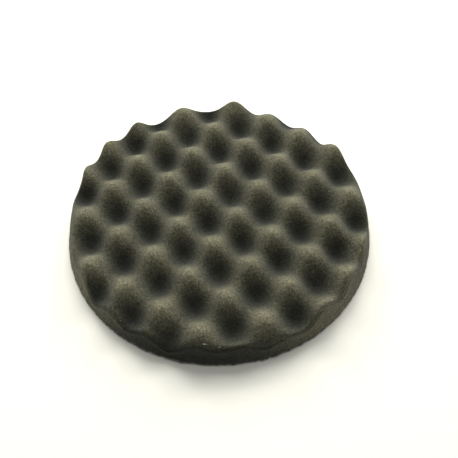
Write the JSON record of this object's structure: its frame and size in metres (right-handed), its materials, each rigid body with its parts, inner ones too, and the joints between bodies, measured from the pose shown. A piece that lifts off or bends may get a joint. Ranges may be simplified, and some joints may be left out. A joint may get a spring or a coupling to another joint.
{
  "type": "polishing pad",
  "caption": "Round open-cell foam pad with a waffle face of rounded peaks and dimples, bonded to a loop-fabric back that grips a hook-faced backing plate.",
  "frame": {"origin": "centre of the back of the pad, on the plane of the loops that grip the backing plate", "axes": "+Z is the spin axis of the pad, out of the waffle face; +X and +Y lie in the plane of the back"},
  "size_m": [0.2032, 0.2032, 0.0254],
  "materials": {
    "open_cell_foam": "matte",
    "hot_melt_film": "satin",
    "brushed_loop_fabric": "matte"
  },
  "bodies": {
    "root": {"waffle_foam": "open_cell_foam", "adhesive_film": "hot_melt_film", "loop_fabric": "brushed_loop_fabric"}
  },
  "joints": []
}
